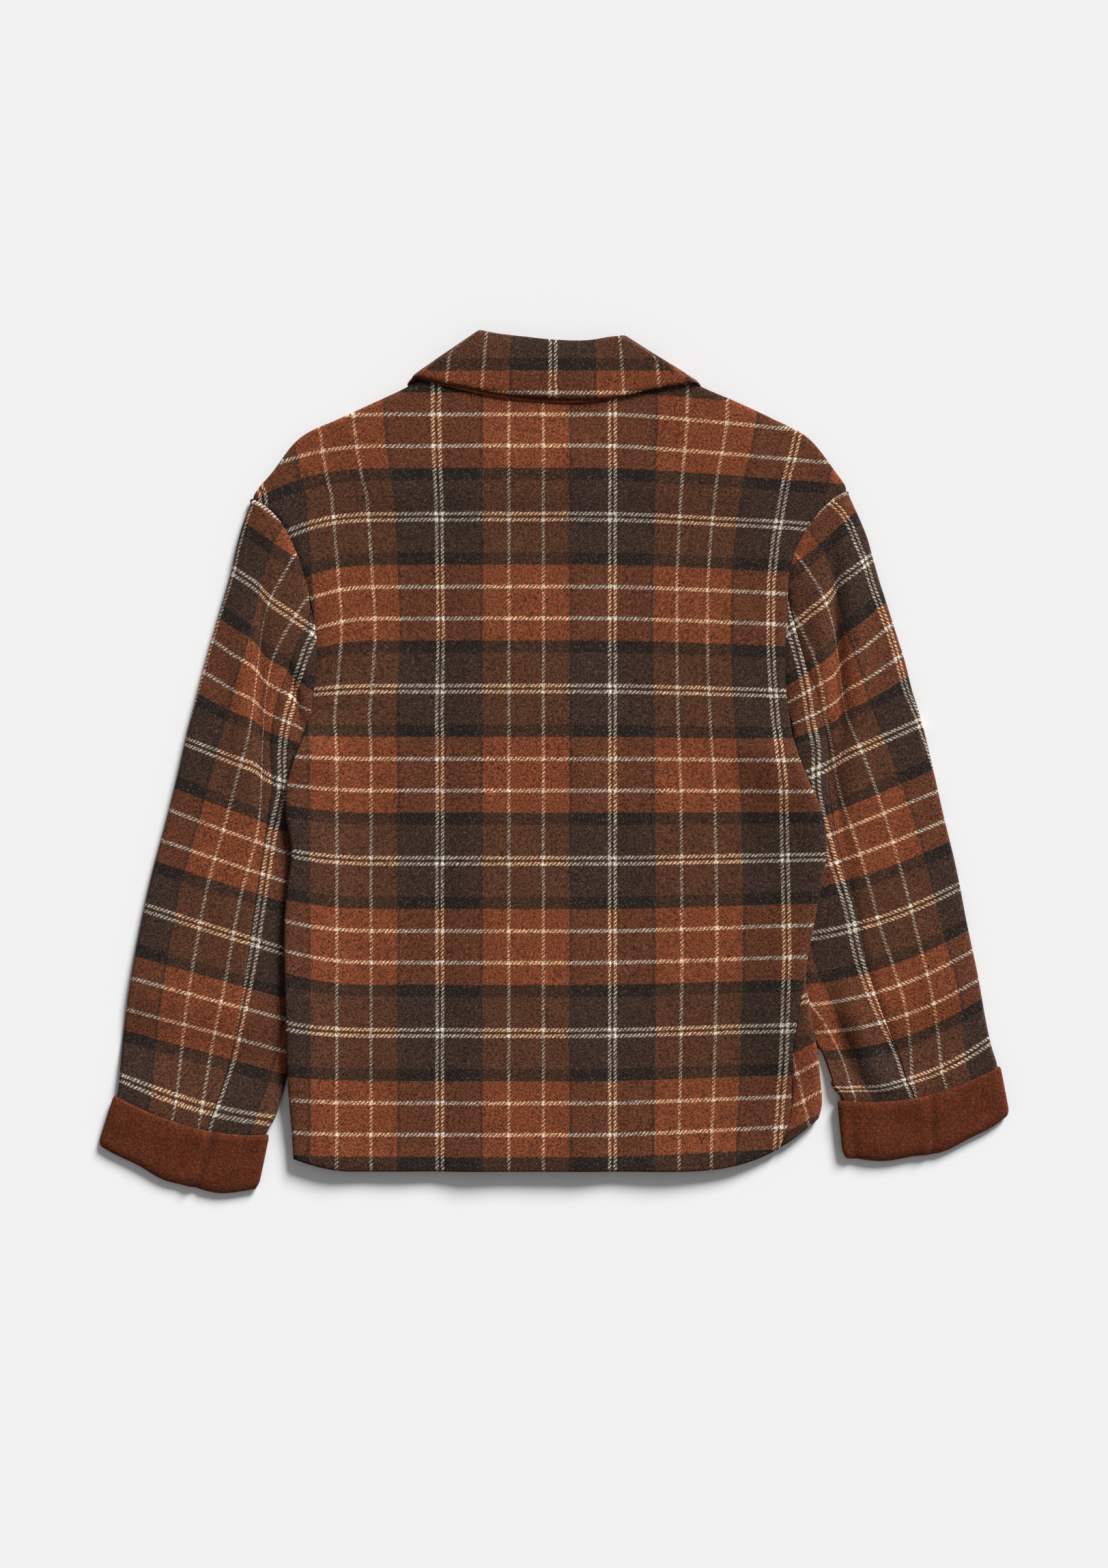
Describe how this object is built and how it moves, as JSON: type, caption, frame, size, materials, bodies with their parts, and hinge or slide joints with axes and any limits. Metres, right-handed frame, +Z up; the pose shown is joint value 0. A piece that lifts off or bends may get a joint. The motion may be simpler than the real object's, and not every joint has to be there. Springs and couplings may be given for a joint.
{
  "type": "outdoor jacket",
  "caption": "Boxy wool jacket in a brown check, laid flat with its back up, with a turned-down collar, drop shoulders and plain turned-up cuffs.",
  "frame": {"origin": "middle of the bounding box, on the surface the jacket lies on", "axes": "+X from the wearer's left sleeve to the right sleeve, +Y from hem to collar, +Z up, out of the back"},
  "size_m": [0.8138, 0.7673, 0.0169],
  "materials": {
    "check": "milled wool, brown check with light lines",
    "plain": "milled wool, plain rust inner face"
  },
  "bodies": {
    "root": {"back": "check", "front_left": "check", "front_right": "check", "top_sleeve_left": "check", "top_sleeve_right": "check", "under_sleeve_left": "check", "under_sleeve_right": "check", "cuff_left": "plain", "cuff_right": "plain", "collar": "check", "under_collar": "plain", "collar_stand": "plain"}
  },
  "joints": []
}
